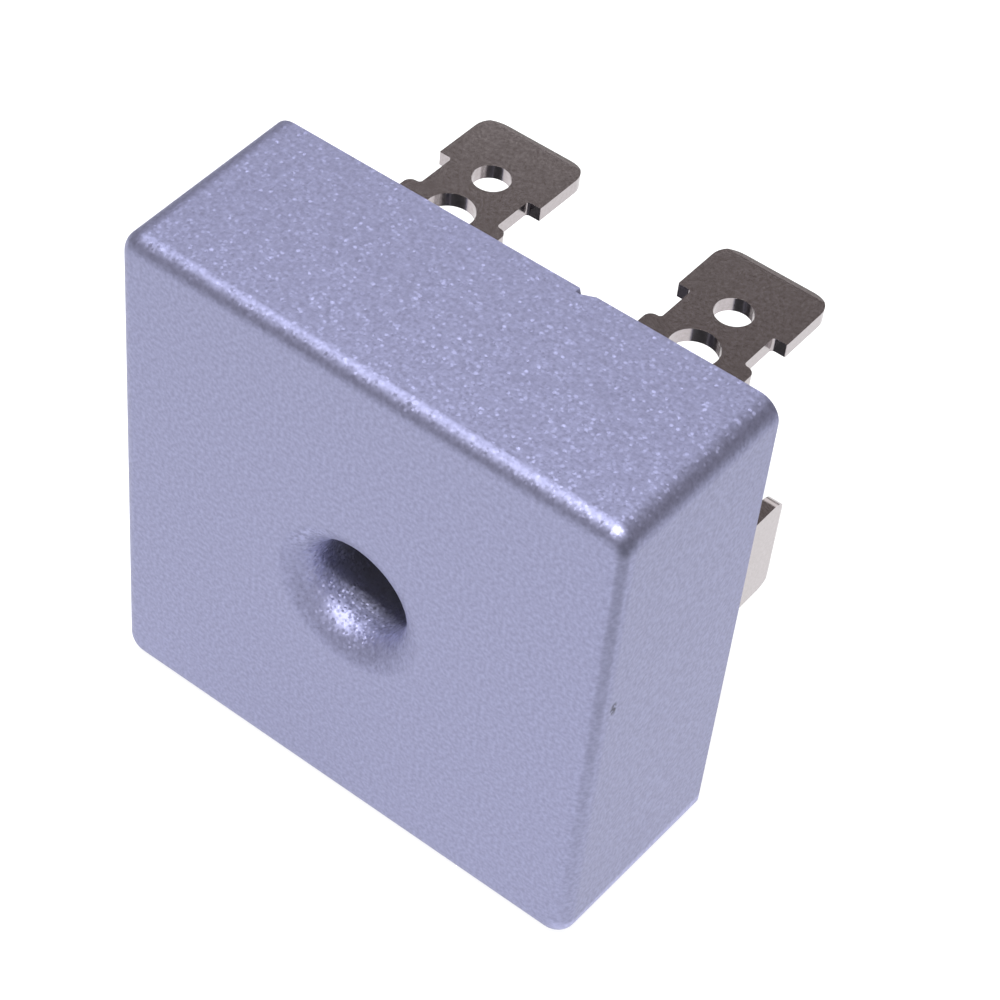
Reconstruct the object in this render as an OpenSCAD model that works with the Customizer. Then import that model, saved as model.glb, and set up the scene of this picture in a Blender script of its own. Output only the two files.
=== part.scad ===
// Square metal-case bridge rectifier with four push-on terminals.
// The origin is the centre of the mounting hole on the mounting face.
// +Y runs from the mounting face to the terminals, +X to the right of the
// mounting face and +Z up. All sizes are in millimetres.

/* [Case] */
// Width of the square mounting face
face_w = 28.3; // [27.9:0.1:28.7]
// How much wider than the face the open rim is, from the draft of the drawn cup
rim_flare = 0.4; // [0.2:0.1:0.8]
// Depth of the cup, from the mounting face to the rim
case_h = 11; // [10.5:0.1:12]
// Thickness of the four side walls
wall_t = 1; // [0.8:0.05:1.1]
// Thickness of the mounting face's wall
face_t = 1.2; // [1:0.05:1.4]
// Radius of the four corners that run along the depth
corner_r = 1.2; // [1.1:0.1:1.6]
// Radius of the edge round the mounting face
edge_r = 0.9; // [0.6:0.05:1]
// Radius of the cup's inside corners
inner_corner_r = 0.7; // [0.5:0.1:1.2]
// Radius of the edge round the cup's floor, inside
inner_edge_r = 0.4; // [0.2:0.05:0.45]

/* [Mounting hole] */
// Diameter of the screw hole
bore_d = 5.3; // [5:0.05:5.6]
// Radius of the hole's rounded entry, where the wall is rolled in as a collar
entry_r = 1.75; // [1.5:0.05:2]
// Thickness of the collar's wall
collar_t = 1; // [0.8:0.05:1.2]
// Radius in the corner between the collar and the cup's floor
collar_foot_r = 0.55; // [0.3:0.05:0.7]
// Depth of the collar's end below the rim
collar_gap = 0.4; // [0.2:0.1:0.6]

/* [Dent in the rim] */
// Distance of the dent's deepest point from the middle of the upper side
dent_x = 3.7; // [0:0.1:8]
// Length of the dent's steep side, along the rim
dent_steep = 0.2; // [0.1:0.05:0.5]
// Length of the dent's gentle side, along the rim
dent_gentle = 0.7; // [0.5:0.1:1.5]
// Depth of the dent into the rim's outer edge
dent_d = 0.27; // [0.15:0.01:0.4]

/* [Potting] */
// Depth of the potting's surface below the rim
fill_gap = 0.6; // [0.3:0.1:1]

/* [Terminals] */
// Thickness of the terminal strip
tab_t = 0.8; // [0.7:0.05:0.9]
// Width of the push-on blade
blade_w = 6.3; // [6.2:0.05:6.4]
// Length of the blade, from its tip to its shoulders
blade_l = 4.1; // [3.8:0.1:4.5]
// Radius of the blade's two tip corners
tip_r = 1.2; // [0.8:0.1:1.5]
// Length of the lead-in bevel on both faces of the tip
bevel_l = 0.4; // [0.2:0.05:0.6]
// Depth of the lead-in bevel
bevel_d = 0.15; // [0.1:0.01:0.25]
// Width of the wrap-round neck below the blade
neck_w = 4.75; // [4.6:0.05:5]
// Length of the neck
neck_l = 2.5; // [2.2:0.1:2.8]
// Width of the strip below the neck
base_w = 6.1; // [5.9:0.05:6.2]
// Radius of the ears where the strip widens below the neck
ear_r = 0.45; // [0.3:0.05:0.5]
// Radius in the inside corners of the neck
notch_r = 0.2; // [0.1:0.05:0.2]
// Diameter of the small wire hole
wire_hole_d = 2; // [1.8:0.1:2.2]
// Distance of the small hole's centre from the tip
wire_hole_drop = 3.95; // [3.6:0.05:4.2]
// Diameter of the large wire hole
wrap_hole_d = 2.6; // [2.4:0.1:2.8]
// Distance of the large hole's centre from the tip
wrap_hole_drop = 7.25; // [7:0.05:7.6]
// Inside radius of the bend at the foot
foot_bend_r = 0.4; // [0.3:0.05:0.6]
// Reach of the foot, from the blade's inner face
foot_l = 3.2; // [2.8:0.1:3.4]
// Distance of the two rows of terminals from the cup's upper and lower walls
row_inset = 5.02; // [4.9:0.02:5.2]
// Distance of the negative terminal's middle from the cup's left wall
negative_inset = 5.27; // [5:0.01:5.5]
// Gap between the first AC terminal's strip and the bridge plate beside it
ac_1_gap = 1.05; // [0.95:0.05:1.4]
// Height of the negative terminal's tip above the mounting face
negative_tip = 23.9; // [23:0.1:25.4]
// Height of the first AC terminal's tip
ac_1_tip = 24.1; // [23:0.1:25.4]
// Height of the second AC terminal's tip
ac_2_tip = 24; // [23:0.1:25.4]
// Height of the positive terminal's tip
positive_tip = 24.1; // [23:0.1:25.4]

/* [Diode chips] */
// Width of a chip
chip_w = 4.2; // [3.8:0.1:4.4]
// Thickness of a chip up to the top of its mesa
chip_t = 0.3; // [0.25:0.05:0.4]
// Width of the raised mesa that holds the junction
mesa_w = 3.8; // [3.5:0.1:3.8]
// Height of the mesa
mesa_t = 0.12; // [0.08:0.01:0.15]

/* [Copper plates] */
// Thickness of the three plates on the insulator and of the bridge plate
plate_t = 0.8; // [0.6:0.05:0.9]
// Margin of bare ceramic between its hole and the plates' inner edges
plate_clear = 0.35; // [0.2:0.05:0.6]
// Margin of bare ceramic outside the plates
plate_margin = 0.6; // [0.5:0.05:0.7]
// Margin of a plate round the chip it carries
chip_margin = 0.3; // [0.2:0.05:0.4]
// Gap between neighbouring plates
plate_gap = 1.2; // [1:0.1:1.4]
// Corner radius of the plates
plate_r = 0.6; // [0.3:0.1:0.8]
// Thickness of the two formed straps
strap_t = 0.5; // [0.4:0.05:0.6]
// Width of the straps, and of the contact they make on a chip
strap_w = 3.4; // [3:0.1:3.4]
// Gap between a strap's landing and the foot of the second AC terminal
strap_gap = 0.3; // [0.2:0.05:0.6]
// Height of the straight legs below a strap's arch
strap_leg = 0.2; // [0.1:0.05:0.4]

/* [Solder and insulation] */
// Thickness of every solder joint
solder_t = 0.1; // [0.05:0.01:0.15]
// Thickness of the bond between the case and the ceramic
bond_t = 0.15; // [0.1:0.01:0.2]
// Gap between the square ceramic insulator and the cup's walls
insulator_gap = 0.47; // [0.35:0.01:0.6]
// Thickness of the ceramic insulator
insulator_t = 0.635; // [0.5:0.005:0.8]
// Corner radius of the ceramic insulator
insulator_r = 0.8; // [0.5:0.1:1.5]
// Clearance between the rolled-in wall and the ceramic's hole
insulator_clear = 0.15; // [0.05:0.05:0.3]

/* [Hidden] */
$fn = 64;

// Half the width of the cup's floor, to the nearest micron: the walls lean out
// with depth, so the floor is a little wider than the face less its walls
rim_w = face_w + rim_flare;
draft = rim_flare / 2 / case_h;
floor_half = round(1000 * (face_w / 2 - wall_t + draft * face_t)) / 1000;
potting_y = case_h - fill_gap;

// The collar runs from its rounded entry through the potting
bore_r = bore_d / 2;
entry_end = bore_r + entry_r;
collar_y = case_h - collar_gap;

// Levels of the inner pieces, from the mounting face up
insulator_y = face_t + bond_t;
plate_y = insulator_y + insulator_t;
plate_top = plate_y + plate_t;
joint_y = plate_top + solder_t;
chip_top = joint_y + chip_t;
over_chip_y = chip_top + solder_t;
bridge_top = over_chip_y + plate_t;
bridge_joint_y = bridge_top + solder_t;

// Places of the plates, the chips and the straps, measured from the hole's axis
insulator_half = floor_half - insulator_gap;
insulator_hole = entry_end + insulator_clear;
plate_in = insulator_hole + plate_clear;
plate_out = insulator_half - plate_margin;
chip_ring = (plate_in + plate_out) / 2;
chip_edge = chip_w / 2 + chip_margin;
next_plate = chip_edge + plate_gap;
strap_far = next_plate + strap_t;
strap_end = plate_out - base_w - strap_gap;
foot_flat = tab_t + foot_bend_r;

// Places of the terminals: the second AC terminal's foot ends flush with the side
// of its plate, and the turned positive one stands as far from the middle
row_z = floor_half - row_inset;
negative_x = floor_half - negative_inset;
ac_1_x = chip_edge + ac_1_gap + base_w / 2;
column_x = plate_out - base_w / 2;

// Extrudes a shape, drawn as seen from the mounting face, from depth y over t
module layer(y, t) {
    translate([0, y + t, 0]) rotate([90, 0, 0]) linear_extrude(t) children();
}

// Turns a solid whose axis is Z so that its axis is Y
module along_y() {
    rotate([-90, 0, 0]) children();
}

// Half of the cup's section: a flat floor, a round edge of the given radius, and
// a wall that widens from near, at the floor, to far, at the open side
module wall_section(near, far, edge, depth) {
    polygon([[0, 0], [near - edge, 0], [near, edge], [far, depth], [0, depth]]);
    translate([near - edge, edge]) intersection() {
        circle(edge);
        translate([0, -edge]) square(edge);
    }
}

// A square block with drafted sides, round corners and a round near edge
module drafted_block(near, far, corner, edge, depth) {
    flat = near - corner;
    for (turn = [0, 90]) rotate([0, turn, 0])
        linear_extrude(2 * flat, center = true)
            for (side = [0, 1]) mirror([side, 0]) wall_section(near, far, edge, depth);
    for (sx = [-1, 1], sz = [-1, 1])
        translate([sx * flat, 0, sz * flat]) along_y()
            rotate_extrude() wall_section(corner, far - flat, edge, depth);
}

// A rectangle with round corners, given by two opposite corners
module rounded(x0, z0, x1, z1, r) {
    translate([x0 + r, z0]) square([x1 - x0 - 2 * r, z1 - z0]);
    translate([x0, z0 + r]) square([x1 - x0, z1 - z0 - 2 * r]);
    for (x = [x0 + r, x1 - r], z = [z0 + r, z1 - r]) translate([x, z]) circle(r);
}

// The inside of the cup
module cavity() {
    translate([0, face_t, 0]) drafted_block(
        floor_half, rim_w / 2 - wall_t, inner_corner_r, inner_edge_r, case_h - face_t
    );
}

// The wall rolled in round the screw hole and drawn out into a tube
module rolled_collar() {
    along_y() rotate_extrude() difference() {
        union() {
            translate([entry_end, entry_r]) intersection() {
                circle(entry_r);
                translate([-entry_r, -entry_r]) square(entry_r);
            }
            translate([bore_r, entry_r]) square([collar_t, collar_y - entry_r]);
        }
        rounded(bore_r + collar_t, face_t, 2 * entry_end, case_h, collar_foot_r);
    }
}

// A dent across the outer edge of the upper side's rim
module rim_dent() {
    translate([dent_x, case_h, rim_w / 2]) rotate([45, 0, 0])
        linear_extrude(2 * wall_t, center = true)
            polygon([[-dent_steep, 0], [0, -dent_d], [dent_gentle, 0], [0, wall_t]]);
}

// The drawn aluminium cup
module case() {
    color([0.65, 0.66, 0.78]) difference() {
        union() {
            difference() {
                drafted_block(face_w / 2, rim_w / 2, corner_r, edge_r, case_h);
                cavity();
                along_y() translate([0, 0, -face_t]) cylinder(3 * face_t, r = entry_end);
            }
            rolled_collar();
        }
        rim_dent();
    }
}

// The flat outline of a terminal, with its tip at the origin and its strip below
module terminal_outline(length) {
    shoulder = -blade_l;
    ear = shoulder - neck_l;
    difference() {
        union() {
            translate([-blade_w / 2, shoulder]) square([blade_w, blade_l - tip_r]);
            translate([tip_r - blade_w / 2, shoulder]) square([blade_w - 2 * tip_r, blade_l]);
            for (side = [-1, 1]) translate([side * (blade_w / 2 - tip_r), -tip_r]) circle(tip_r);
            translate([-neck_w / 2 - notch_r, ear]) square([neck_w + 2 * notch_r, neck_l]);
            translate([-base_w / 2, -length]) square([base_w, length + ear - ear_r]);
            translate([ear_r - base_w / 2, -length]) square([base_w - 2 * ear_r, length + ear]);
            for (side = [-1, 1]) translate([side * (base_w / 2 - ear_r), ear - ear_r]) circle(ear_r);
        }
        for (side = [-1, 1]) translate([side * (neck_w / 2 + notch_r), 0]) {
            translate([-notch_r, ear + notch_r]) square([2 * notch_r, neck_l - 2 * notch_r]);
            for (y = [ear + notch_r, shoulder - notch_r]) translate([0, y]) circle(notch_r);
        }
        translate([0, -wire_hole_drop]) circle(d = wire_hole_d);
        translate([0, -wrap_hole_drop]) circle(d = wrap_hole_d);
    }
}

// A terminal at the middle of the part: its inner face is at z = 0, its foot
// reaches out along +Z at height foot_y, and its tip stands at tip_y
module terminal(foot_y, tip_y) {
    bend_y = foot_y + foot_flat;
    intersection() {
        translate([0, tip_y, 0]) linear_extrude(tab_t) terminal_outline(tip_y - bend_y);
        rotate([0, -90, 0]) linear_extrude(2 * blade_w, center = true) polygon([
            [0, bend_y],
            [tab_t, bend_y],
            [tab_t, tip_y - bevel_l],
            [tab_t - bevel_d, tip_y],
            [bevel_d, tip_y],
            [0, tip_y - bevel_l]
        ]);
    }
    rotate([0, -90, 0]) linear_extrude(base_w, center = true) {
        translate([foot_flat, bend_y]) intersection() {
            difference() {
                circle(foot_flat);
                circle(foot_bend_r);
            }
            translate([-foot_flat, -foot_flat]) square(foot_flat);
        }
        translate([foot_flat, foot_y]) square([foot_l - foot_flat, tab_t]);
    }
}

// The solder under a terminal's foot, in the terminal's own place
module foot_solder(y) {
    translate([-base_w / 2, y, foot_flat]) cube([base_w, solder_t, foot_l - foot_flat]);
}

// The places of the four terminals: each foot points away from the middle
module at_negative() {
    translate([-negative_x, 0, row_z - tab_t / 2]) children();
}
module at_ac_1() {
    translate([ac_1_x, 0, row_z - tab_t / 2]) children();
}
module at_ac_2() {
    translate([-column_x, 0, tab_t / 2 - row_z]) mirror([0, 0, 1]) children();
}
module at_positive() {
    translate([column_x - tab_t / 2, 0, -row_z]) rotate([0, 90, 0]) children();
}

module negative_terminal() {
    color([0.45, 0.42, 0.42]) at_negative() terminal(bridge_joint_y, negative_tip);
}
module ac_1_terminal() {
    color([0.45, 0.42, 0.42]) at_ac_1() terminal(joint_y, ac_1_tip);
}
module ac_2_terminal() {
    color([0.45, 0.42, 0.42]) at_ac_2() terminal(joint_y, ac_2_tip);
}
module positive_terminal() {
    color([0.84, 0.82, 0.83]) at_positive() terminal(joint_y, positive_tip);
}

// The places of the four chips, on the centre lines round the hole
module at_diode(number) {
    place = [[1, 0], [0, -1], [0, 1], [-1, 0]][number - 1];
    translate([place[0] * chip_ring, 0, place[1] * chip_ring]) children();
}

// A flat square piece centred on a chip's place
module pad(width, y, t) {
    translate([-width / 2, y, -width / 2]) cube([width, t, width]);
}

// A diode chip: its cathode side lies down and its mesa faces the terminals
module diode(number) {
    color([0.3, 0.32, 0.36]) at_diode(number) {
        pad(chip_w, joint_y, chip_t - mesa_t);
        pad(mesa_w, chip_top - mesa_t, mesa_t);
    }
}
module solder_under_chips() {
    color([0.72, 0.73, 0.75]) for (n = [1:4]) at_diode(n) pad(chip_w, plate_top, solder_t);
}
module solder_over_chips() {
    color([0.72, 0.73, 0.75]) for (n = [1:4]) at_diode(n) pad(strap_w, chip_top, solder_t);
}

// The positive plate carries diodes 1 and 2 by their cathodes
module positive_plate() {
    color([0.78, 0.5, 0.34]) layer(plate_y, plate_t) {
        rounded(plate_in, -plate_out, plate_out, chip_edge, plate_r);
        rounded(-chip_edge, -plate_out, plate_out, -plate_in, plate_r);
    }
}

// The first AC plate carries diode 3 and the first AC strap
module ac_1_plate() {
    color([0.78, 0.5, 0.34]) layer(plate_y, plate_t) {
        rounded(-chip_edge, plate_in, plate_out, plate_out, plate_r);
        rounded(plate_in, next_plate, plate_out, plate_out, plate_r);
    }
}

// The second AC plate carries diode 4 and the second AC strap
module ac_2_plate() {
    color([0.78, 0.5, 0.34]) layer(plate_y, plate_t) {
        rounded(-plate_out, -plate_out, -plate_in, chip_edge, plate_r);
        rounded(-plate_out, -plate_out, -next_plate, -plate_in, plate_r);
    }
}

// The bridge plate joins the anodes of diodes 3 and 4 to the negative terminal
module negative_bridge() {
    color([0.78, 0.5, 0.34]) layer(over_chip_y, plate_t) {
        rounded(-plate_out, plate_in, chip_edge, plate_out, plate_r);
        rounded(-plate_out, -chip_edge, -plate_in, plate_out, plate_r);
    }
}

// A strap's side view: from the chip's contact over an arch down to the next plate
module strap_section() {
    near = strap_w / 2;
    arch_r = (strap_far - near) / 2;
    arch_y = over_chip_y + strap_t + strap_leg;
    translate([-near, over_chip_y]) square([strap_w + strap_t, strap_t]);
    translate([near, over_chip_y]) square([strap_t, arch_y - over_chip_y]);
    translate([near + arch_r, arch_y]) intersection() {
        difference() {
            circle(arch_r);
            circle(arch_r - strap_t);
        }
        translate([-arch_r, 0]) square([2 * arch_r, arch_r]);
    }
    translate([next_plate, joint_y]) square([strap_t, arch_y - joint_y]);
    translate([next_plate, joint_y]) square([strap_end - next_plate, strap_t]);
}

// A strap over diode 1, running up to the first AC plate
module strap() {
    translate([chip_ring, 0, 0]) rotate([0, -90, 0])
        linear_extrude(strap_w, center = true) strap_section();
}

// Solder under the strap's landing, in the same place
module landing_solder() {
    translate([chip_ring - strap_w / 2, plate_top, next_plate])
        cube([strap_w, solder_t, strap_end - next_plate]);
}

// Diode 2's strap is diode 1's, mirrored across the line from plus to minus
module across() {
    mirror([1, 0, 1]) children();
}
module ac_1_strap() {
    color([0.78, 0.5, 0.34]) strap();
}
module ac_2_strap() {
    color([0.78, 0.5, 0.34]) across() strap();
}
module strap_solder() {
    color([0.72, 0.73, 0.75]) {
        landing_solder();
        across() landing_solder();
    }
}
module terminal_solder() {
    color([0.72, 0.73, 0.75]) {
        at_negative() foot_solder(bridge_top);
        at_ac_1() foot_solder(plate_top);
        at_ac_2() foot_solder(plate_top);
        at_positive() foot_solder(plate_top);
    }
}

// A square sheet with the collar's hole in it
module holed_sheet(y, t) {
    layer(y, t) difference() {
        rounded(-insulator_half, -insulator_half, insulator_half, insulator_half, insulator_r);
        circle(insulator_hole);
    }
}
module bond_layer() {
    color([0.9, 0.9, 0.86]) holed_sheet(face_t, bond_t);
}
module insulator() {
    color([0.96, 0.96, 0.94]) holed_sheet(insulator_y, insulator_t);
}

// Everything that the potting closes round
module potted_pieces() {
    bond_layer();
    insulator();
    positive_plate();
    ac_1_plate();
    ac_2_plate();
    negative_bridge();
    for (n = [1:4]) diode(n);
    ac_1_strap();
    ac_2_strap();
    solder_under_chips();
    solder_over_chips();
    terminal_solder();
    strap_solder();
    positive_terminal();
    negative_terminal();
    ac_1_terminal();
    ac_2_terminal();
}

// The black epoxy that fills the cup round the collar
module potting() {
    color([0.1, 0.1, 0.11]) difference() {
        cavity();
        layer(potting_y, case_h) square(2 * rim_w, center = true);
        rolled_collar();
        along_y() cylinder(collar_y, r = bore_r + collar_t);
        along_y() cylinder(case_h, r = bore_r);
        potted_pieces();
    }
}

case();
potting();
bond_layer();
insulator();
positive_plate();
ac_1_plate();
ac_2_plate();
negative_bridge();
diode(1);  // diode_1
diode(2);  // diode_2
diode(3);  // diode_3
diode(4);  // diode_4
ac_1_strap();
ac_2_strap();
solder_under_chips();
solder_over_chips();
terminal_solder();
strap_solder();
positive_terminal();
negative_terminal();
ac_1_terminal();
ac_2_terminal();
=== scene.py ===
import math

import bmesh
import bpy
from mathutils import Matrix, Vector, noise


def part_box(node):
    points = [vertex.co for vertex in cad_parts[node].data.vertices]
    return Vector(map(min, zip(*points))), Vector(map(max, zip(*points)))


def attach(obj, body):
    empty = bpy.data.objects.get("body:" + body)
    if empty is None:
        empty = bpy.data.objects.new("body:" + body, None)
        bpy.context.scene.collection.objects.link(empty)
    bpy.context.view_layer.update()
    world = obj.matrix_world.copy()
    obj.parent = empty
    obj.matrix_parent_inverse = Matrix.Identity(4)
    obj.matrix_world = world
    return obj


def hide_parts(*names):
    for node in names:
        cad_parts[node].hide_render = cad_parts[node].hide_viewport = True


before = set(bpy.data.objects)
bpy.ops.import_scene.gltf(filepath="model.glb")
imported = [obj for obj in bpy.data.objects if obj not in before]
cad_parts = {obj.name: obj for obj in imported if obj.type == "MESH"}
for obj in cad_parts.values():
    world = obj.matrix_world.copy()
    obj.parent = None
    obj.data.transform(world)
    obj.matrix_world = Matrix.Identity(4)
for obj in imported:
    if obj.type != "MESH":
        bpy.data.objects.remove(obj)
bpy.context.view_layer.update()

# The camera looks down on the upper right corner of the mounting face, from a
# little over four case widths away, with its horizon turned by a few degrees.
camera = bpy.data.objects.new("camera", bpy.data.cameras.new("camera"))
camera.location = (0.052459, -0.069027, 0.098006)
camera.rotation_euler = (math.radians(43.6242), math.radians(-4.6408), math.radians(37.8035))
camera.data.lens = 101.936
camera.data.sensor_width = 36
camera.data.clip_start = 0.005
bpy.context.scene.collection.objects.link(camera)
bpy.context.scene.camera = camera

# The case is a square cup drawn from aluminium sheet. Its floor is the mounting
# face, rolled in round the screw hole and drawn out as a tube. The surface is
# etched and then plated, which leaves a matt, sparkling grain.
mm = 0.001
rim_half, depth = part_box("case")[1][0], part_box("case")[1][1]
face_half = rim_half - 0.2 * mm
corner_r, edge_r = 1.2 * mm, 0.9 * mm
bore_r, roll_r, roll_end = 2.65 * mm, 1.75 * mm, 10.6 * mm
case_wall = 1.0 * mm
tolerance, weld = 0.01 * mm, 0.001 * mm

shell = bmesh.new()
bmesh.ops.create_cube(shell, size=1)
bmesh.ops.scale(shell, vec=(2 * rim_half, depth, 2 * rim_half), verts=shell.verts)
bmesh.ops.translate(shell, vec=(0, depth / 2, 0), verts=shell.verts)
taper = face_half / rim_half
bmesh.ops.scale(shell, vec=(taper, 1, taper), verts=[v for v in shell.verts if v.co.y < depth / 2])
shell.normal_update()
bmesh.ops.delete(shell, geom=[f for f in shell.faces if f.normal.y > 0.9], context="FACES_ONLY")
long_edges = [e for e in shell.edges if abs(e.verts[0].co.y - e.verts[1].co.y) > depth / 2]
bmesh.ops.bevel(shell, geom=long_edges, affect="EDGES", offset=corner_r, segments=10,
                profile=0.5, material=-1)
face_edges = [e for e in shell.edges if max(v.co.y for v in e.verts) < tolerance]
bmesh.ops.bevel(shell, geom=face_edges, affect="EDGES", offset=edge_r, segments=10,
                profile=0.5, material=-1)

shell.normal_update()
flat = max((f for f in shell.faces if f.normal.y < -0.99), key=lambda f: f.calc_area())
bmesh.ops.delete(shell, geom=[flat], context="FACES_ONLY")
lip = bmesh.ops.create_vert(shell, co=(bore_r + roll_r, 0, 0))["vert"][0]
rolled = bmesh.ops.spin(shell, geom=[lip], cent=(bore_r + roll_r, roll_r, 0), axis=(0, 0, 1),
                        angle=-math.pi / 2, steps=14)["geom_last"]
collar_foot = [g for g in rolled if isinstance(g, bmesh.types.BMVert)]
straight = bmesh.ops.extrude_vert_indiv(shell, verts=collar_foot)["verts"]
bmesh.ops.translate(shell, vec=(0, roll_end - roll_r, 0), verts=straight)
profile = [e for e in shell.edges if not e.link_faces]
profile += list({v for e in profile for v in e.verts})
bmesh.ops.spin(shell, geom=profile, cent=(0, 0, 0), axis=(0, 1, 0), angle=2 * math.pi, steps=120,
               use_merge=True)
bmesh.ops.remove_doubles(shell, verts=shell.verts, dist=weld)
inner_loop = [e for e in shell.edges if e.is_boundary and max(v.co.y for v in e.verts) < tolerance
              and max(v.co.xz.length for v in e.verts) < 2 * roll_r + bore_r]
outer_loop = [e for e in shell.edges if e.is_boundary and max(v.co.y for v in e.verts) < tolerance
              and e not in inner_loop]
bmesh.ops.bridge_loops(shell, edges=inner_loop + outer_loop)

# A knock has left a small dent in the rim of the upper side.
dent_x, dent_left, dent_right, dent_reach = 3.7 * mm, 0.22 * mm, 0.7 * mm, 0.35 * mm
dent_push = (0, -0.17 * mm, -0.24 * mm)
for cut, normal in ((dent_x - dent_left, (1, 0, 0)), (dent_x, (1, 0, 0)),
                    (dent_x + dent_right, (1, 0, 0)), (depth - dent_reach, (0, 1, 0))):
    side = [f for f in shell.faces if f.normal.z > 0.99 and f.calc_center_median().y > 2 * mm]
    side += list({e for f in side for e in f.edges}) + list({v for f in side for v in f.verts})
    bmesh.ops.bisect_plane(shell, geom=side, plane_co=Vector(normal) * cut, plane_no=normal)
struck = [v for v in shell.verts if abs(v.co.x - dent_x) < tolerance
          and v.co.y > depth - tolerance and v.co.z > 0]
bmesh.ops.translate(shell, vec=dent_push, verts=struck)
bmesh.ops.recalc_face_normals(shell, faces=shell.faces)


def made(mesh, name, node, material, crease=40):
    """The finished piece: shaded smooth up to the crease, riding in place of its CAD node."""
    data = bpy.data.meshes.new(name)
    mesh.to_mesh(data)
    mesh.free()
    data.shade_smooth()
    data.set_sharp_from_angle(angle=math.radians(crease))
    data.materials.append(material)
    piece = bpy.data.objects.new(name, data)
    bpy.context.scene.collection.objects.link(piece)
    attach(piece, "root")
    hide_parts(node)
    return piece


class Nodes:
    """A short way to add nodes to a tree and link them."""

    def __init__(self, tree):
        self.tree = tree

    def add(self, kind, values=(), **settings):
        node = self.tree.nodes.new(kind)
        for name, value in settings.items():
            setattr(node, name, value)
        self.feed(node, dict(values))
        return node

    def feed(self, node, values):
        """Link each value that is an output, and set each other one on the socket."""
        for name, value in values.items():
            if isinstance(value, bpy.types.NodeSocket):
                self.tree.links.new(value, node.inputs[name])
            else:
                node.inputs[name].default_value = value


def finish_named(name):
    """A new material, a way to add nodes to it, and its surface shader."""
    finish = bpy.data.materials.new(name)
    finish.use_nodes = True
    return finish, Nodes(finish.node_tree), finish.node_tree.nodes["Principled BSDF"]


def facet_group():
    """Etched grain: facets that each lean their own way, and a share of steep, bright ones."""
    group = bpy.data.node_groups.new("etched facets", "ShaderNodeTree")
    face = group.interface
    for name in ("Scale", "Tilt", "Steep Share"):
        face.new_socket(name, in_out="INPUT", socket_type="NodeSocketFloat")
    face.new_socket("Normal", in_out="OUTPUT", socket_type="NodeSocketVector")
    face.new_socket("Cloud", in_out="OUTPUT", socket_type="NodeSocketFloat")
    n = Nodes(group)
    given = n.add("NodeGroupInput")
    where = n.add("ShaderNodeTexCoord").outputs["Object"]
    normal = n.add("ShaderNodeNewGeometry").outputs["Normal"]
    any_way, forward_and_up = (0.5, 0.5, 0.5), (0.5, 1, 0)
    for density, share, tilt, middle in (
            (1.0, 1.0, given.outputs["Tilt"], any_way),
            (0.8, given.outputs["Steep Share"], 0.22, forward_and_up)):
        scale = n.add("ShaderNodeMath", {0: given.outputs["Scale"], 1: density}, operation="MULTIPLY")
        cell = n.add("ShaderNodeTexVoronoi", {"Vector": where, "Scale": scale.outputs[0]})
        chance = n.add("ShaderNodeTexWhiteNoise", {"Vector": cell.outputs["Position"]})
        chosen = n.add("ShaderNodeMath", {0: chance.outputs["Value"], 1: share}, operation="LESS_THAN")
        fade = n.add("ShaderNodeMapRange", {"Value": cell.outputs["Distance"], "From Min": 0.3,
                                            "From Max": 0.75, "To Min": 1.0, "To Max": 0.0},
                     interpolation_type="SMOOTHSTEP")
        lean = n.add("ShaderNodeMath", {0: chosen.outputs[0], 1: fade.outputs[0]},
                     operation="MULTIPLY")
        lean = n.add("ShaderNodeMath", {0: lean.outputs[0], 1: tilt}, operation="MULTIPLY")
        side = n.add("ShaderNodeVectorMath", {0: cell.outputs["Color"], 1: middle},
                     operation="SUBTRACT")
        side = n.add("ShaderNodeVectorMath", {0: side.outputs[0], "Scale": lean.outputs[0]},
                     operation="SCALE")
        normal = n.add("ShaderNodeVectorMath", {0: normal, 1: side.outputs[0]},
                       operation="ADD").outputs[0]
    normal = n.add("ShaderNodeVectorMath", {0: normal}, operation="NORMALIZE").outputs[0]
    broad = n.add("ShaderNodeMath", {0: given.outputs["Scale"], 1: 0.75}, operation="MULTIPLY")
    cloud = n.add("ShaderNodeTexNoise", {"Vector": where, "Scale": broad.outputs[0], "Detail": 2.0})
    cloud = n.add("ShaderNodeMapRange", {"Value": cloud.outputs["Fac"], "From Min": 0.3,
                                         "From Max": 0.7})
    n.add("NodeGroupOutput", {"Normal": normal, "Cloud": cloud.outputs[0]})
    return group


etched_facets = facet_group()
plated, n, surface = finish_named("etched aluminium")
where = n.add("ShaderNodeTexCoord").outputs["Object"]
facing = n.add("ShaderNodeTexCoord").outputs["Normal"]


def mask(value, start, end):
    """A soft step that is 0 at the start value and 1 at the end value."""
    return n.add("ShaderNodeMapRange", {"Value": value, "From Min": start, "From Max": end},
                 interpolation_type="SMOOTHSTEP").outputs[0]


def both(first, second):
    """The product of two masks, or of a mask and a number."""
    return n.add("ShaderNodeMath", {0: first, 1: second}, operation="MULTIPLY").outputs[0]


def raised(level, place, change):
    """The level, changed by so much where the place's mask is 1."""
    return n.add("ShaderNodeMath", {0: place, 1: change, 2: level},
                 operation="MULTIPLY_ADD").outputs[0]


def spot(place, size):
    """A soft round or oval spot on the surface."""
    away = n.add("ShaderNodeVectorMath", {0: where, 1: place}, operation="SUBTRACT").outputs[0]
    away = n.add("ShaderNodeVectorMath", {0: away, 1: size}, operation="DIVIDE").outputs[0]
    away = n.add("ShaderNodeVectorMath", {0: away}, operation="LENGTH").outputs["Value"]
    return mask(away, 1.0, 0.4)


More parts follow.
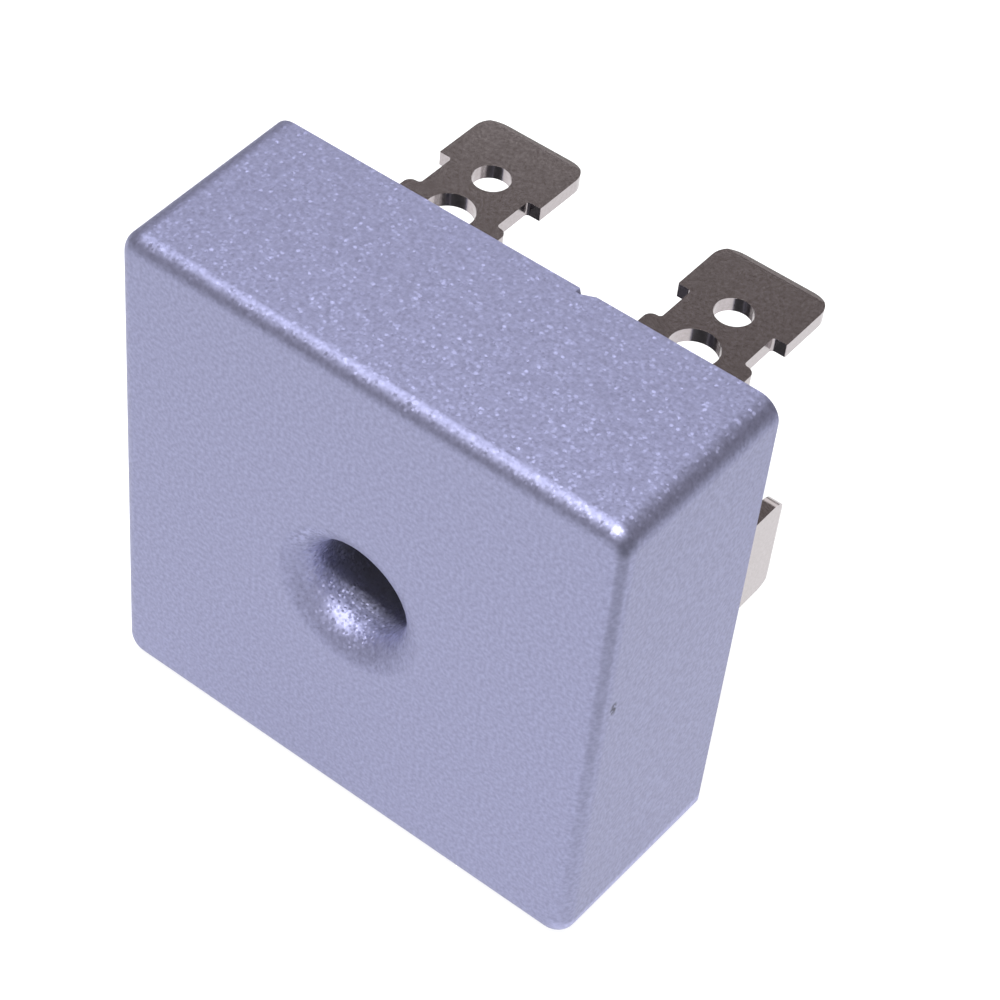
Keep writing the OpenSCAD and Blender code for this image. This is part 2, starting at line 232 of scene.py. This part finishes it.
sideways = n.add("ShaderNodeVectorMath", {0: where, 1: (1, 0, 1)}, operation="MULTIPLY").outputs[0]
from_axis = n.add("ShaderNodeVectorMath", {0: sideways}, operation="LENGTH").outputs["Value"]
outside = mask(from_axis, bore_r + 0.5 * roll_r, bore_r + roll_r)
at = n.add("ShaderNodeSeparateXYZ", {0: where}).outputs
leaning = n.add("ShaderNodeSeparateXYZ", {0: facing}).outputs
upper, inside = mask(leaning[2], 0.3, 0.8), mask(outside, 1.0, 0.5)
# The facets lean further on the upper side and in the hole, so those two sparkle most.
tilt = raised(raised(0.1, upper, 0.08), inside, 0.4)
steep_share = raised(both(upper, 0.3), inside, 0.7)
grain = n.add("ShaderNodeGroup", {"Scale": 6500, "Tilt": tilt, "Steep Share": steep_share},
              node_tree=etched_facets)
cloud = grain.outputs["Cloud"]
colour = n.add("ShaderNodeMix", {"Factor": cloud, 6: (0.278, 0.283, 0.422, 1),
                                 7: (0.362, 0.372, 0.55, 1)}, data_type="RGBA")
deep = both(mask(outside, 1.0, 0.9), mask(at[1], 1.5 * mm, 4 * mm))
colour = n.add("ShaderNodeMix", {"Factor": deep, 6: colour.outputs[2], 7: (0.36, 0.36, 0.43, 1)},
               data_type="RGBA")

# Handling has burnished the edges and left a chip at the front edge on the right, drawn as a
# dark spot. Painted shade darkens that edge and the corner above it, and a painted shadow
# darkens the lower side of the tube. Painted highlights lighten the lower edge on the right,
# the hole's entry and an arc of the rim beside the hole.
# Painted shade: a darker band down the front edge on the right.
turned = both(both(leaning[0], leaning[1]), -2.0)
right_edge_painted_shade = both(mask(turned, 0.7, 1.0), mask(at[0], 12 * mm, 13 * mm))
right_edge_painted_shade = both(right_edge_painted_shade, mask(at[2], -20 * mm, 14 * mm))
# Painted highlight: a lighter band along the lower edge on the right.
lower_edge_painted_highlight = both(mask(at[2], -12.7 * mm, -13.05 * mm), mask(at[0], 13 * mm, 14 * mm))
along = n.add("ShaderNodeVectorMath", {0: facing}, operation="ABSOLUTE").outputs[0]
along = n.add("ShaderNodeSeparateXYZ", {0: along}).outputs
flatness = n.add("ShaderNodeMath", {0: along[0], 1: along[1]}, operation="MAXIMUM").outputs[0]
flatness = n.add("ShaderNodeMath", {0: flatness, 1: along[2]}, operation="MAXIMUM").outputs[0]
burnished = both(mask(flatness, 0.98, 0.75), mask(from_axis, 8 * mm, 10 * mm))
chip = both(spot((face_half, 1.07 * mm, 2.72 * mm), (0.5 * mm, 0.3 * mm, 0.55 * mm)),
            mask(cloud, 0.9, 0.4))
# Painted shade: a darker spot at the upper end of the front edge on the right.
corner_painted_shade = spot((face_half, 0.2 * mm, 13.6 * mm), (0.9 * mm, 0.9 * mm, mm))
# Painted highlight: a lighter arc on the rounded rim of the hole, up and to the left.
rim_painted_highlight = both(mask(from_axis, 3.3 * mm, 3.6 * mm), mask(from_axis, 4.1 * mm, 3.8 * mm))
rim_painted_highlight = both(both(rim_painted_highlight, spot((-2.6 * mm, 0, 2.6 * mm), (1.9 * mm, mm, 1.9 * mm))),
             mask(cloud, 0.2, 0.7))
# Painted shadow: the lower side of the tube darker from about 2 mm deep.
tube_floor_painted_shadow = both(both(inside, mask(at[1], 2.2 * mm, 4 * mm)), mask(leaning[2], 0, 0.4))
# Painted highlight: the hole's entry lighter, to about 3 mm deep.
entry_painted_highlight = both(mask(at[1], 0.3 * mm, 0.9 * mm), both(inside, mask(at[1], 3 * mm, 1.5 * mm)))
# The real chip, the painted shade and the painted highlights all scale the colour here.
wear_and_painted_light = ((right_edge_painted_shade, -0.3), (lower_edge_painted_highlight, 0.4), (tube_floor_painted_shadow, -0.35), (entry_painted_highlight, 0.2), (chip, -0.7),
        (corner_painted_shade, -0.3), (rim_painted_highlight, 0.2))
level = 1.0
for place, change in wear_and_painted_light:
    level = raised(level, place, change)
colour_with_wear_and_painted_light = n.add("ShaderNodeVectorMath", {0: colour.outputs[2], "Scale": level}, operation="SCALE")
n.feed(surface, {"Base Color": colour_with_wear_and_painted_light.outputs[0], "Normal": grain.outputs["Normal"],
                 "Roughness": raised(raised(0.5, burnished, -0.04), inside, 0.08),
                 "Metallic": 0.85})

case = made(shell, "case_shell", "case", plated)
sheet = case.modifiers.new("sheet thickness", "SOLIDIFY")
sheet.thickness, sheet.offset, sheet.use_even_offset = case_wall, -1, True
broken = case.modifiers.new("rim edge", "BEVEL")
broken.width, broken.segments, broken.limit_method = 0.1 * mm, 2, "ANGLE"
broken.angle_limit = math.radians(60)
case.modifiers.new("flats", "WEIGHTED_NORMAL").keep_sharp = True

# The potting is black epoxy, poured in from the open side round the collar. It
# creeps up the walls and the terminals a little as it cures.
fill_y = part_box("potting")[1][1]
fill_half, fill_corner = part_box("potting")[1][0], 0.87 * mm
tube_r = bore_r + case_wall
creep, creep_reach = 0.28 * mm, 0.3 * mm
creep_at_terminals, creep_at_tube = 0.6 * creep, 0.4 * creep
sink, waviness, waves, below_rim = 0.08 * mm, 0.06 * mm, 190, 0.15 * mm
strip_t = 0.8 * mm


def past_wall(x, z, half, corner):
    """How far a point lies outside a square with round corners (negative inside)."""
    dx, dz = abs(x) - half + corner, abs(z) - half + corner
    return math.hypot(max(dx, 0), max(dz, 0)) + min(max(dx, dz), 0) - corner


fill = bmesh.new()
line = [bmesh.ops.create_vert(fill, co=(1, 0, 0))["vert"][0]]
radial_steps, crowding = 54, 0.16
for step in range(radial_steps):
    line += bmesh.ops.extrude_vert_indiv(fill, verts=line[-1:])["verts"]
    bmesh.ops.translate(fill, vec=(1, 0, 0), verts=line[-1:])
bmesh.ops.spin(fill, geom=list(fill.verts) + list(fill.edges), cent=(0, 0, 0), axis=(0, 1, 0),
               angle=2 * math.pi, steps=288, use_merge=True)
bmesh.ops.remove_doubles(fill, verts=fill.verts, dist=1e-4)
terminals = ("negative_terminal", "ac_1_terminal", "ac_2_terminal", "positive_terminal")
strips = []
for node in terminals:
    (x0, _, z0), (x1, _, z1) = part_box(node)
    if node == "positive_terminal":
        strips.append((x0, x0 + strip_t, z0, z1))
    elif node == "ac_2_terminal":
        strips.append((x0, x1, z1 - strip_t, z1))
    else:
        strips.append((x0, x1, z0, z0 + strip_t))
for v in fill.verts:
    ring = v.co.xz.length - 1
    out = v.co.xz.normalized()
    reach = fill_half
    for _ in range(12):
        reach -= past_wall(out.x * reach, out.y * reach, fill_half, fill_corner)
    share = ring / radial_steps
    share = share + crowding * math.sin(math.pi * share) * (share - 0.3)
    r = tube_r + share * (reach - tube_r)
    x, z = out.x * r, out.y * r
    gap = max(-past_wall(x, z, fill_half, fill_corner), 0)
    y = fill_y - sink + creep * math.exp(-gap / creep_reach)
    for x0, x1, z0, z1 in strips:
        gap = math.hypot(max(x0 - x, 0, x - x1), max(z0 - z, 0, z - z1))
        y += creep_at_terminals * math.exp(-gap / creep_reach)
    y += waviness * noise.noise(Vector((x, z, 0)) * waves)
    y += creep_at_tube * math.exp((tube_r - r) / creep_reach)
    v.co = (x, min(y, depth - below_rim), z)
rims = [e for e in fill.edges if e.is_boundary]
skirt = bmesh.ops.extrude_edge_only(fill, edges=rims)["geom"]
for v in (g for g in skirt if isinstance(g, bmesh.types.BMVert)):
    v.co.y = case_wall
bmesh.ops.bridge_loops(fill, edges=[e for e in fill.edges if e.is_boundary])
bmesh.ops.recalc_face_normals(fill, faces=fill.faces)

resin, n, surface = finish_named("black epoxy")
where = n.add("ShaderNodeTexCoord").outputs["Object"]
mottle = n.add("ShaderNodeTexNoise", {"Vector": where, "Scale": 900.0, "Detail": 4.0})
dust = n.add("ShaderNodeTexNoise", {"Vector": where, "Scale": 6000.0, "Detail": 2.0})
colour = n.add("ShaderNodeMix", {"Factor": mottle.outputs["Fac"], 6: (0.025, 0.025, 0.03, 1),
                                 7: (0.045, 0.045, 0.055, 1)}, data_type="RGBA")
rough = n.add("ShaderNodeMapRange", {"Value": dust.outputs["Fac"], "To Min": 0.28, "To Max": 0.5})
ripple = n.add("ShaderNodeBump", {"Height": mottle.outputs["Fac"], "Strength": 0.2,
                                  "Distance": 0.05 * mm})
n.feed(surface, {"Base Color": colour.outputs[2], "Roughness": rough.outputs[0],
                 "Normal": ripple.outputs["Normal"]})
made(fill, "potting_fill", "potting", resin)

# The four terminals are stamped from tin-plated copper strip: a push-on blade with
# a small wire hole, barbed shoulders, a narrow wrap neck with a large hole, and a
# foot bent out and soldered to its plate under the potting.
blade_half, neck_half, base_half = 3.15 * mm, 2.375 * mm, 3.05 * mm
shoulder, ear = -4.1 * mm, -6.6 * mm
tip_r, barb_r, ear_r, notch_r = 1.2 * mm, 0.06 * mm, 0.45 * mm, 0.2 * mm
lead_in, lead_depth = 0.4 * mm, 0.15 * mm
foot_inside_r, foot_reach = 0.4 * mm, 3.2 * mm
wire_hole, wrap_hole = (1.0 * mm, 3.95 * mm), (1.3 * mm, 7.25 * mm)


def stamped_terminal(height):
    """One terminal: tip at the origin, strip along -Y, foot along +Z at the given height below."""
    strip = bmesh.new()
    bend = -height + strip_t + foot_inside_r
    half = [(blade_half, 0), (blade_half, shoulder), (neck_half, shoulder), (neck_half, ear),
            (base_half, ear), (base_half, bend)]
    rounds = [tip_r, barb_r, notch_r, notch_r, ear_r, 0]
    corners = [strip.verts.new((x, y, 0)) for x, y in half]
    corners += [strip.verts.new((-x, y, 0)) for x, y in reversed(half)]
    strip.faces.new(corners)
    for corner, r in zip(corners, rounds + rounds[::-1]):
        if r:
            bmesh.ops.bevel(strip, geom=[corner], affect="VERTICES", offset=r, segments=8,
                            profile=0.5, material=-1)
    bmesh.ops.delete(strip, geom=list(strip.faces), context="FACES_ONLY")
    for r, drop in (wire_hole, wrap_hole):
        bmesh.ops.create_circle(strip, segments=56, radius=r,
                                matrix=Matrix.Translation((0, -drop, 0)))
    bmesh.ops.triangle_fill(strip, edges=strip.edges, use_beauty=True, use_dissolve=False)
    bmesh.ops.bisect_plane(strip, geom=list(strip.verts) + list(strip.edges) + list(strip.faces),
                           plane_co=(0, -lead_in, 0), plane_no=(0, 1, 0))
    back = bmesh.ops.extrude_face_region(strip, geom=strip.faces)["geom"]
    bmesh.ops.translate(strip, vec=(0, 0, strip_t),
                        verts=[g for g in back if isinstance(g, bmesh.types.BMVert)])
    for v in strip.verts:
        near = max(v.co.y + lead_in, 0) / lead_in
        v.co.z += (0.5 - v.co.z / strip_t) * 2 * lead_depth * near
    strip.normal_update()
    end = [f for f in strip.faces if f.normal.y < -0.9 and f.calc_center_median().y < bend + tolerance]
    end += list({e for f in end for e in f.edges}) + list({v for f in end for v in f.verts})
    turned = bmesh.ops.spin(strip, geom=end, cent=(0, bend, strip_t + foot_inside_r), axis=(1, 0, 0),
                            angle=-math.pi / 2, steps=8)["geom_last"]
    tail = [g for g in turned if isinstance(g, bmesh.types.BMFace)]
    tail = bmesh.ops.extrude_face_region(strip, geom=tail)["geom"]
    bmesh.ops.translate(strip, vec=(0, 0, foot_reach - strip_t - foot_inside_r),
                        verts=[g for g in tail if isinstance(g, bmesh.types.BMVert)])
    bmesh.ops.remove_doubles(strip, verts=strip.verts, dist=weld)
    bmesh.ops.recalc_face_normals(strip, faces=strip.faces)
    return strip


tinned, n, surface = finish_named("tin plating")
grain = n.add("ShaderNodeGroup", {"Scale": 8000, "Tilt": 0.02, "Steep Share": 0.0},
              node_tree=etched_facets)
colour = n.add("ShaderNodeMix", {"Factor": grain.outputs["Cloud"], 6: (0.405, 0.368, 0.37, 1),
                                 7: (0.465, 0.425, 0.435, 1)}, data_type="RGBA")
rough = n.add("ShaderNodeMapRange", {"Value": grain.outputs["Cloud"], "To Min": 0.18, "To Max": 0.22})
n.feed(surface, {"Base Color": colour.outputs[2], "Roughness": rough.outputs[0],
                 "Normal": grain.outputs["Normal"], "Metallic": 1})

for node in terminals:
    (x0, y0, z0), (x1, y1, z1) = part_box(node)
    strip = stamped_terminal(y1 - y0)
    if node == "positive_terminal":
        place = Matrix.Translation((x0, y1, (z0 + z1) / 2)) @ Matrix.Rotation(math.pi / 2, 4, "Y")
    elif node == "ac_2_terminal":
        place = Matrix.Translation(((x0 + x1) / 2, y1, z1)) @ Matrix.Scale(-1, 4, (0, 0, 1))
    else:
        place = Matrix.Translation(((x0 + x1) / 2, y1, z0))
    bmesh.ops.transform(strip, matrix=place, verts=strip.verts)
    bmesh.ops.recalc_face_normals(strip, faces=strip.faces)
    blade = made(strip, node.replace("_terminal", "_blade"), node, tinned, 15)
    rolled_edge = blade.modifiers.new("rolled edge", "BEVEL")
    rolled_edge.width, rolled_edge.segments, rolled_edge.limit_method = 0.05 * mm, 2, "ANGLE"
    rolled_edge.angle_limit = math.radians(50)
    blade.modifiers.new("flats", "WEIGHTED_NORMAL").keep_sharp = True

# The pieces under the potting never show. Each still has the finish of the real
# one: rolled copper, reflowed solder, passivated silicon, ceramic and silicone.
buried = {
    "bare copper": (("positive_plate", "ac_1_plate", "ac_2_plate", "negative_bridge", "ac_1_strap",
                     "ac_2_strap"), (0.72, 0.33, 0.19), (0.62, 0.26, 0.14), 1, 0.3),
    "solder": (("solder_under_chips", "solder_over_chips", "terminal_solder", "strap_solder"),
               (0.52, 0.53, 0.55), (0.4, 0.41, 0.43), 1, 0.4),
    "silicon": (("diode_1", "diode_2", "diode_3", "diode_4"),
                (0.05, 0.055, 0.07), (0.03, 0.035, 0.045), 0.4, 0.15),
    "alumina": (("insulator",), (0.84, 0.84, 0.81), (0.78, 0.78, 0.75), 0, 0.35),
    "silicone bond": (("bond_layer",), (0.7, 0.7, 0.67), (0.62, 0.62, 0.6), 0, 0.6),
}
for name, (members, light, dark, metallic, roughness) in buried.items():
    finish, n, surface = finish_named(name)
    grain = n.add("ShaderNodeGroup", {"Scale": 5000, "Tilt": 0.2, "Steep Share": 0.0},
                  node_tree=etched_facets)
    colour = n.add("ShaderNodeMix", {"Factor": grain.outputs["Cloud"], 6: (*light, 1),
                                     7: (*dark, 1)}, data_type="RGBA")
    n.feed(surface, {"Base Color": colour.outputs[2], "Normal": grain.outputs["Normal"],
                     "Metallic": metallic, "Roughness": roughness})
    for member in members:
        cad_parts[member].data.materials.clear()
        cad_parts[member].data.materials.append(finish)

# The stage is a sheet of white paper under a broad soft light, with the rest of
# the room darker. The paper glows white to the camera and keeps a faint shadow. In
# reflections it glows with a painted pool of light that fades away from the case.
floor_mesh = bmesh.new()
bmesh.ops.create_grid(floor_mesh, x_segments=1, y_segments=1, size=2,
                      matrix=Matrix.Translation((0, 0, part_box("case")[0][2])))
floor_data = bpy.data.meshes.new("floor")
floor_mesh.to_mesh(floor_data)
floor_mesh.free()
floor = bpy.data.objects.new("floor", floor_data)
bpy.context.scene.collection.objects.link(floor)
paper = bpy.data.materials.new("white paper")
paper.use_nodes = True
paper.node_tree.nodes.clear()
n = Nodes(paper.node_tree)
ray = n.add("ShaderNodeLightPath")
seen = n.add("ShaderNodeMath", {0: ray.outputs["Is Camera Ray"], 1: ray.outputs["Is Glossy Ray"]},
             operation="MAXIMUM")
seen = n.add("ShaderNodeMath", {0: seen.outputs[0], 1: ray.outputs["Is Transmission Ray"]},
             operation="MAXIMUM")
lit = n.add("ShaderNodeBsdfDiffuse", {"Color": (0.8, 0.8, 0.8, 1)})
shade = n.add("ShaderNodeBsdfDiffuse", {"Color": (0.3, 0.3, 0.3, 1)})
away = n.add("ShaderNodeVectorMath", {0: n.add("ShaderNodeTexCoord").outputs["Object"]},
             operation="LENGTH")
# Painted light: a glow, seen in reflections, that is strong near the case and fades outward.
painted_light_pool = n.add("ShaderNodeMapRange", {"Value": away.outputs["Value"], "From Min": 0.05,
                                    "From Max": 0.16, "To Min": 0.9, "To Max": 0.27},
             interpolation_type="SMOOTHSTEP")
strength = n.add("ShaderNodeMath", {0: painted_light_pool.outputs[0], 1: ray.outputs["Is Camera Ray"]},
                 operation="MAXIMUM")
glow = n.add("ShaderNodeEmission", {"Color": (0.9, 0.9, 0.9, 1), "Strength": strength.outputs[0]})
white = n.add("ShaderNodeAddShader", {0: shade.outputs[0], 1: glow.outputs[0]})
mix = n.add("ShaderNodeMixShader", {0: seen.outputs[0], 1: lit.outputs[0], 2: white.outputs[0]})
n.add("ShaderNodeOutputMaterial", {"Surface": mix.outputs[0]})
floor_data.materials.append(paper)

world = bpy.data.worlds.new("room")
bpy.context.scene.world = world
world.use_nodes = True
world.node_tree.nodes.clear()
n = Nodes(world.node_tree)
ray = n.add("ShaderNodeLightPath")
room = n.add("ShaderNodeBackground", {"Color": (1, 0.86, 0.83, 1), "Strength": 0.17})
white = n.add("ShaderNodeBackground", {"Color": (1, 1, 1, 1), "Strength": 1.0})
ambient = n.add("ShaderNodeBackground", {"Color": (1, 1, 1, 1), "Strength": 0.4})
mix = n.add("ShaderNodeMixShader", {0: ray.outputs["Is Camera Ray"], 1: room.outputs[0],
                                    2: white.outputs[0]})
mix = n.add("ShaderNodeMixShader", {0: ray.outputs["Is Diffuse Ray"], 1: mix.outputs[0],
                                    2: ambient.outputs[0]})
n.add("ShaderNodeOutputWorld", {"Surface": mix.outputs[0]})


def soft_light(name, shape, size, watts, colour, place):
    """A soft light that looks at the case from its place in the room."""
    lamp = bpy.data.objects.new(name, bpy.data.lights.new(name, "AREA"))
    lamp.data.shape = shape
    lamp.data.size, lamp.data.size_y = size
    lamp.data.energy, lamp.data.color = watts, colour
    lamp.location = place
    lamp.rotation_euler = (-lamp.location).to_track_quat("-Z", "Y").to_euler()
    bpy.context.scene.collection.objects.link(lamp)


soft_light("overhead light", "DISK", (0.05, 0.05), 2.0, (1, 1, 1), (0.075, -0.16, 0.42))
soft_light("ceiling light", "RECTANGLE", (0.3, 0.3), 0.95, (0.89, 0.91, 1), (-0.12, 0.03, 0.45))
soft_light("rear light", "RECTANGLE", (0.25, 0.2), 0.2, (1, 1, 1), (-0.19, 0.37, 0.16))

bpy.context.scene.view_settings.view_transform = "Standard"
